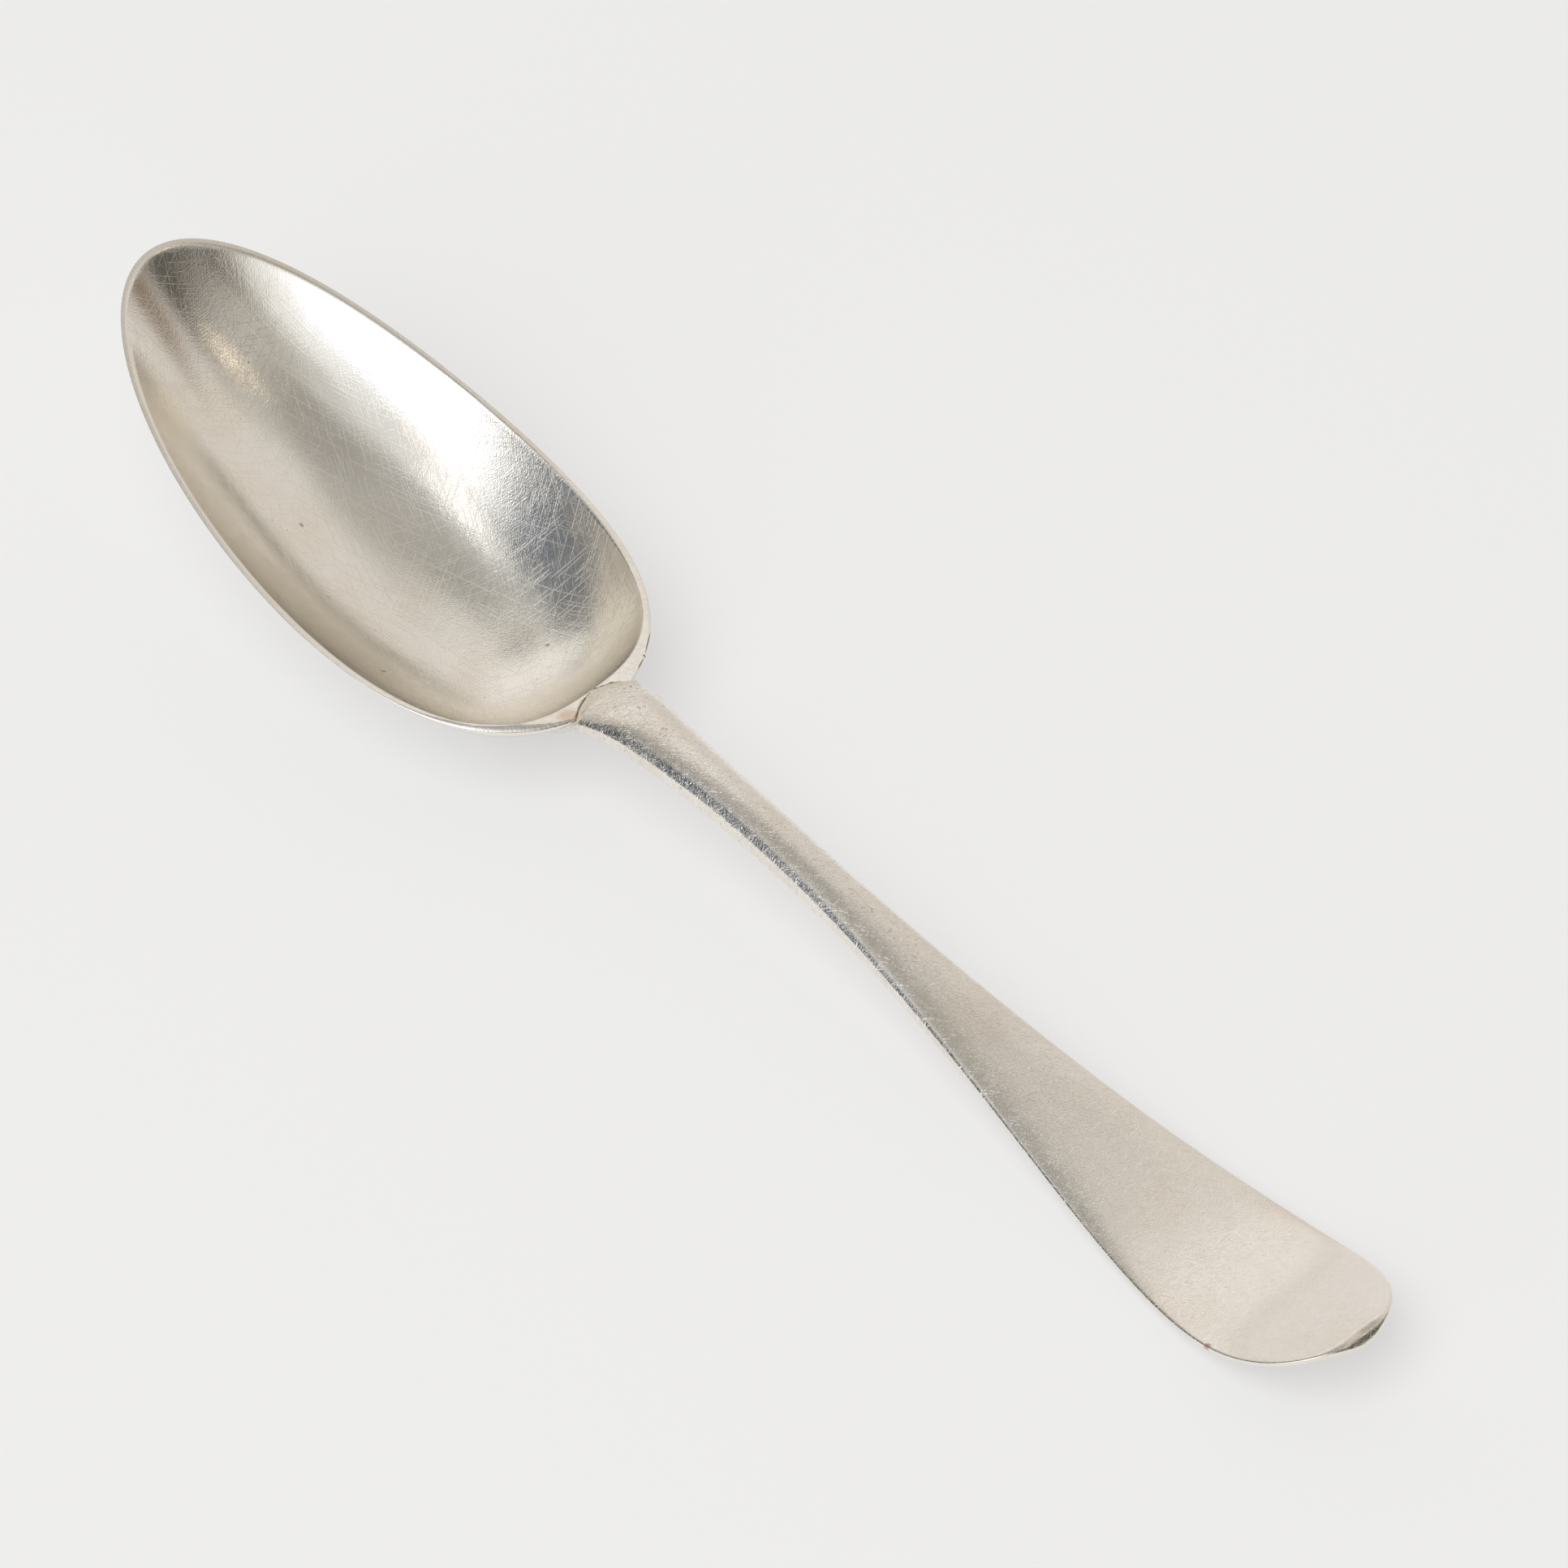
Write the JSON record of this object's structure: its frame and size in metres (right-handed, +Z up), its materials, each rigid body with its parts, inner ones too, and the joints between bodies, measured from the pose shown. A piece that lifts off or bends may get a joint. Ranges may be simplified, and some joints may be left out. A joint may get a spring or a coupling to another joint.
{
  "type": "teaspoon",
  "caption": "Silver teaspoon with a deep egg-shaped bowl, a slim round waist and a flat flared handle whose rounded end turns up.",
  "frame": {"origin": "on the table under the middle of the spoon's length and width, with the spoon lying as it rests", "axes": "+X from the bowl's tip to the handle's end, +Y across, +Z up out of the bowl"},
  "size_m": [0.13, 0.0258, 0.0179],
  "materials": {
    "bowl_silver": "old silver, polished and finely scratched",
    "stem_silver": "old silver, satin with fine scratches and small pits",
    "hard_solder": "tarnished silver solder, dull and copper tinted"
  },
  "bodies": {
    "root": {"bowl": "bowl_silver", "stem": "stem_silver", "solder": "hard_solder"}
  },
  "joints": []
}
